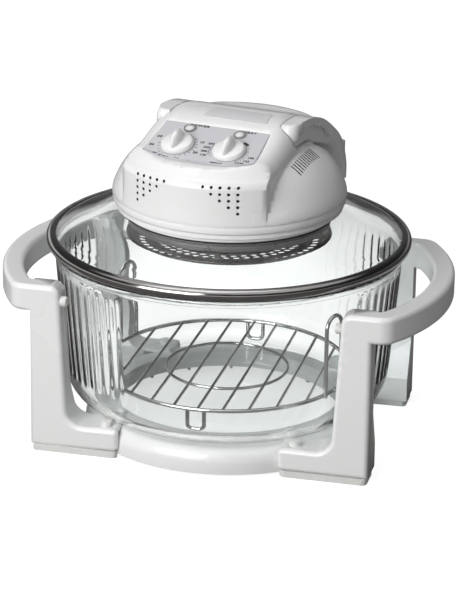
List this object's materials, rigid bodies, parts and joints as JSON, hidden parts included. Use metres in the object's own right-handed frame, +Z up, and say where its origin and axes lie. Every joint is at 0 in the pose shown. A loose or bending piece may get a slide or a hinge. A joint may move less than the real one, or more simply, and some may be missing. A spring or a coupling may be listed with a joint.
{
  "type": "halogen oven",
  "caption": "Countertop halogen oven: glass bowl in a legged stand with side grips, wire rack, and a lift-off glass lid with a round heater head, knobs and folding carry handle.",
  "frame": {"origin": "on the table under the middle of the bowl", "axes": "+Z up, the control side of the head towards -Y, the side grips at -X and +X"},
  "size_m": [0.41, 0.33, 0.2988],
  "materials": {
    "white_plastic": "gloss moulded",
    "panel_plastic": "satin",
    "bowl_glass": "clear pressed",
    "lid_glass": "clear tempered",
    "rim_steel": "polished rolled band",
    "rack_wire": "bright plated",
    "guard_steel": "pressed and perforated",
    "plate_steel": "rolled sheet",
    "screw_steel": "zinc plated",
    "sole_rubber": "soft translucent",
    "seal_rubber": "silicone",
    "quartz": "clear quartz",
    "ceramic": "fired ceramic",
    "mineral_board": "pressed fibre",
    "lamp_lens": "clear, ribbed",
    "neon": "clear",
    "black_plastic": "moulded",
    "motor_iron": "laminated, painted",
    "fan_aluminium": "stamped",
    "terminal_nylon": "nylon"
  },
  "bodies": {
    "stand": {"left_handle_frame": "white_plastic", "right_handle_frame": "white_plastic", "base_ring": "white_plastic", "foot_pads": "sole_rubber", "bowl_posts": "sole_rubber", "bowl_bumpers": "sole_rubber", "frame_screws": "screw_steel"},
    "bowl": {"glass_bowl": "bowl_glass"},
    "rack": {"rack_grid": "rack_wire", "rack_feet": "rack_wire", "rack_loops": "rack_wire"},
    "lid": {"lid_glass": "lid_glass", "lid_rim": "rim_steel", "upper_gasket": "seal_rubber", "lower_gasket": "seal_rubber", "head_collar": "white_plastic", "clamp_plate": "plate_steel", "clamp_screws": "screw_steel", "insulation_board": "mineral_board", "head_housing": "white_plastic", "housing_screws": "screw_steel", "cord_gland": "black_plastic", "control_panel": "panel_plastic", "lamp_bezels": "white_plastic", "lamp_lenses": "lamp_lens", "neon_lamps": "neon", "timer": "black_plastic", "thermostat": "black_plastic", "safety_switch": "black_plastic", "switch_bracket": "white_plastic", "motor": "motor_iron", "motor_bracket": "plate_steel", "terminal_block": "terminal_nylon", "halogen_lamp": "quartz", "lamp_caps": "ceramic", "lamp_clips": "plate_steel", "heater_guard": "guard_steel", "guard_pillars": "plate_steel", "guard_screws": "screw_steel"},
    "fan": {"motor_shaft": "plate_steel", "cooling_fan": "fan_aluminium", "convection_fan": "fan_aluminium"},
    "handle": {"carry_handle": "white_plastic", "pivot_pins": "white_plastic"},
    "time_control": {"time_knob": "white_plastic", "time_spindle": "screw_steel"},
    "heat_control": {"heat_knob": "white_plastic", "heat_spindle": "screw_steel"},
    "plunger": {"switch_plunger": "white_plastic"}
  },
  "joints": [
    {"name": "bowl_lift", "type": "slide", "parent": "stand", "child": "bowl", "axis": [0, 0, 1], "range_m": [0, 0.16]},
    {"name": "rack_lift", "type": "slide", "parent": "bowl", "child": "rack", "axis": [0, 0, 1], "range_m": [0, 0.055]},
    {"name": "lid_lift", "type": "slide", "parent": "bowl", "child": "lid", "axis": [0, 0, 1], "range_m": [0, 0.16]},
    {"name": "fan_spin", "type": "hinge", "parent": "lid", "child": "fan", "pos_m": [0, 0, 0.22], "axis": [0, 0, 1], "continuous": true},
    {"name": "handle_fold", "type": "hinge", "parent": "lid", "child": "handle", "pos_m": [-0.0005, -0.00296, 0.287], "axis": [0.9861, -0.1663, 0], "range_deg": [0, 90]},
    {"name": "time_turn", "type": "hinge", "parent": "lid", "child": "time_control", "pos_m": [-0.03432, -0.05557, 0.28024], "axis": [-0.0517, -0.3064, 0.9505], "range_deg": [-300, 0]},
    {"name": "heat_turn", "type": "hinge", "parent": "lid", "child": "heat_control", "pos_m": [0.0142, -0.06375, 0.28024], "axis": [-0.0517, -0.3064, 0.9505], "range_deg": [-270, 0]},
    {"name": "switch_press", "type": "slide", "parent": "lid", "child": "plunger", "axis": [0, 0, -1], "range_m": [0, 0.0025]}
  ],
  "couplings": [
    {"joint": "switch_press", "follows": "handle_fold", "m_per_rad": 0.0012732}
  ]
}
